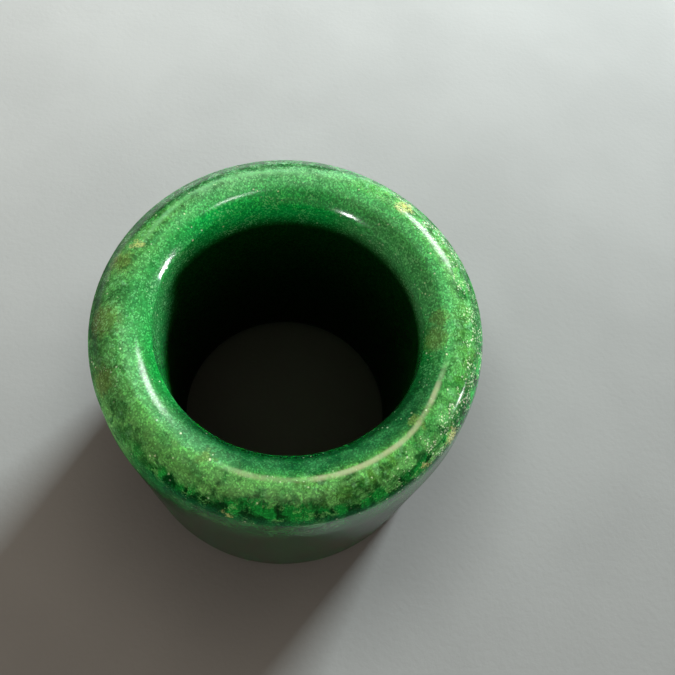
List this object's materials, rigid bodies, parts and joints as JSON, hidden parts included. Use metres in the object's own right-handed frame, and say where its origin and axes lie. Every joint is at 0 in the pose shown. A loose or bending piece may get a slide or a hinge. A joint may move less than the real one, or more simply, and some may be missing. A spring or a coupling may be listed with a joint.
{
  "type": "jade thumb ring",
  "caption": "Short thick-walled jade thumb ring with a plain through bore, rounded polished rim and a flat foot to stand on.",
  "frame": {"origin": "centre of the bore on the foot, the flat end that the ring stands on", "axes": "+Z along the bore, from the foot to the rounded rim; the ring is round, so X and Y are free"},
  "size_m": [0.031, 0.031, 0.027],
  "materials": {
    "jade": "polished green stone, mottled, glossy"
  },
  "bodies": {
    "root": {"ring_body": "jade"}
  },
  "joints": []
}
